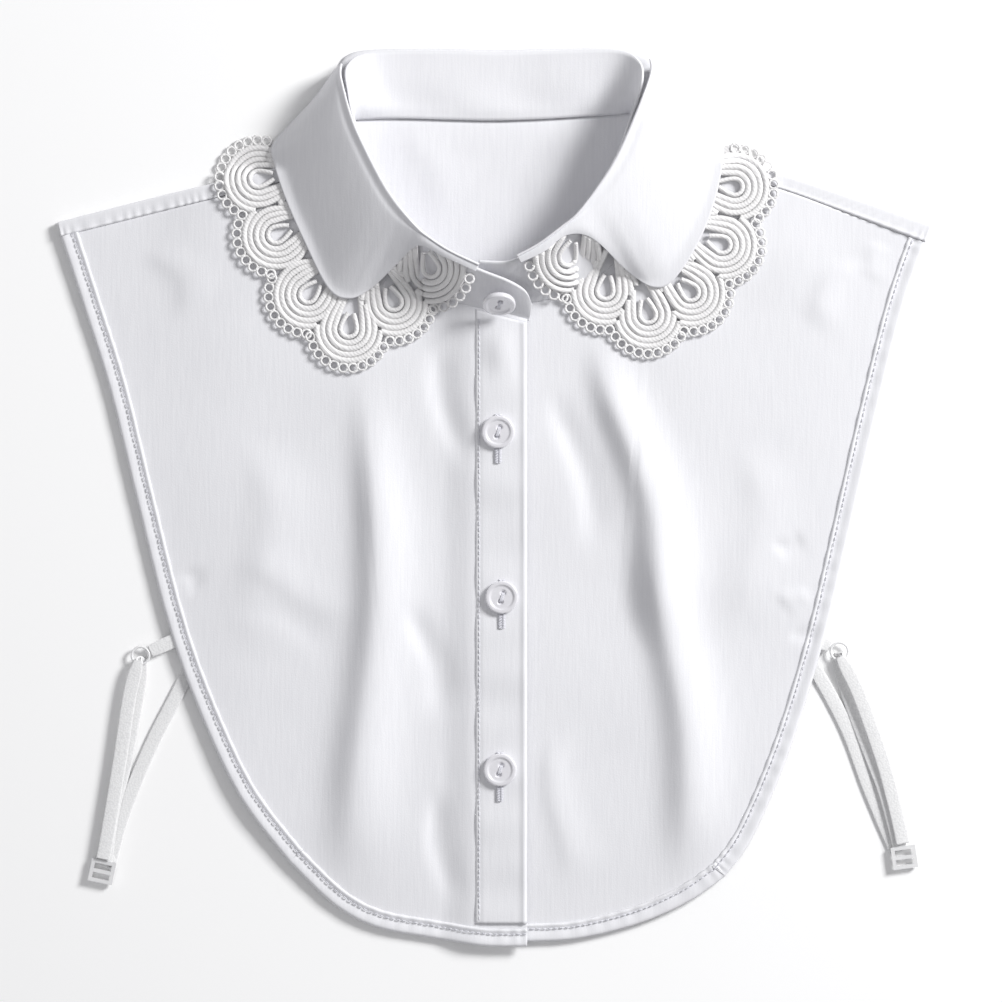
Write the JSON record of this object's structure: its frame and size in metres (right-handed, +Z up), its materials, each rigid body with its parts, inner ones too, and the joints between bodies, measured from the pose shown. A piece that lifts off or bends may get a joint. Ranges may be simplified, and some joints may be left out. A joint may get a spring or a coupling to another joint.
{
  "type": "detachable shirt collar with a buttoned front",
  "caption": "White detachable collar laid flat: short buttoned front and back, stand-up collar with rounded leaves, lace edging and elastic side straps.",
  "frame": {"origin": "on the surface it lies on, under the middle of its outline", "axes": "+Z up from the surface, +Y towards the collar, +X to the wearer's left"},
  "size_m": [0.3317, 0.3413, 0.0251],
  "materials": {
    "cloth": "plain woven polyester crepe",
    "lace": "guipure lace",
    "button": "pearly polyester resin",
    "elastic": "woven elastic band",
    "clear_plastic": "clear moulded plastic"
  },
  "bodies": {
    "root": {"back_panel": "cloth", "front_left": "cloth", "front_right": "cloth", "placket": "cloth", "collar_stand": "cloth", "collar_leaf": "cloth", "lace_back": "lace", "lace_right": "lace", "lace_left": "lace", "button_1": "button", "button_2": "button", "button_3": "button", "button_stand": "button", "tab_right": "elastic", "strap_right_lower": "elastic", "strap_right_loop": "elastic", "tab_left": "elastic", "strap_left_lower": "elastic", "strap_left_loop": "elastic", "ring_right": "clear_plastic", "slider_right": "clear_plastic", "ring_left": "clear_plastic", "slider_left": "clear_plastic"}
  },
  "joints": []
}
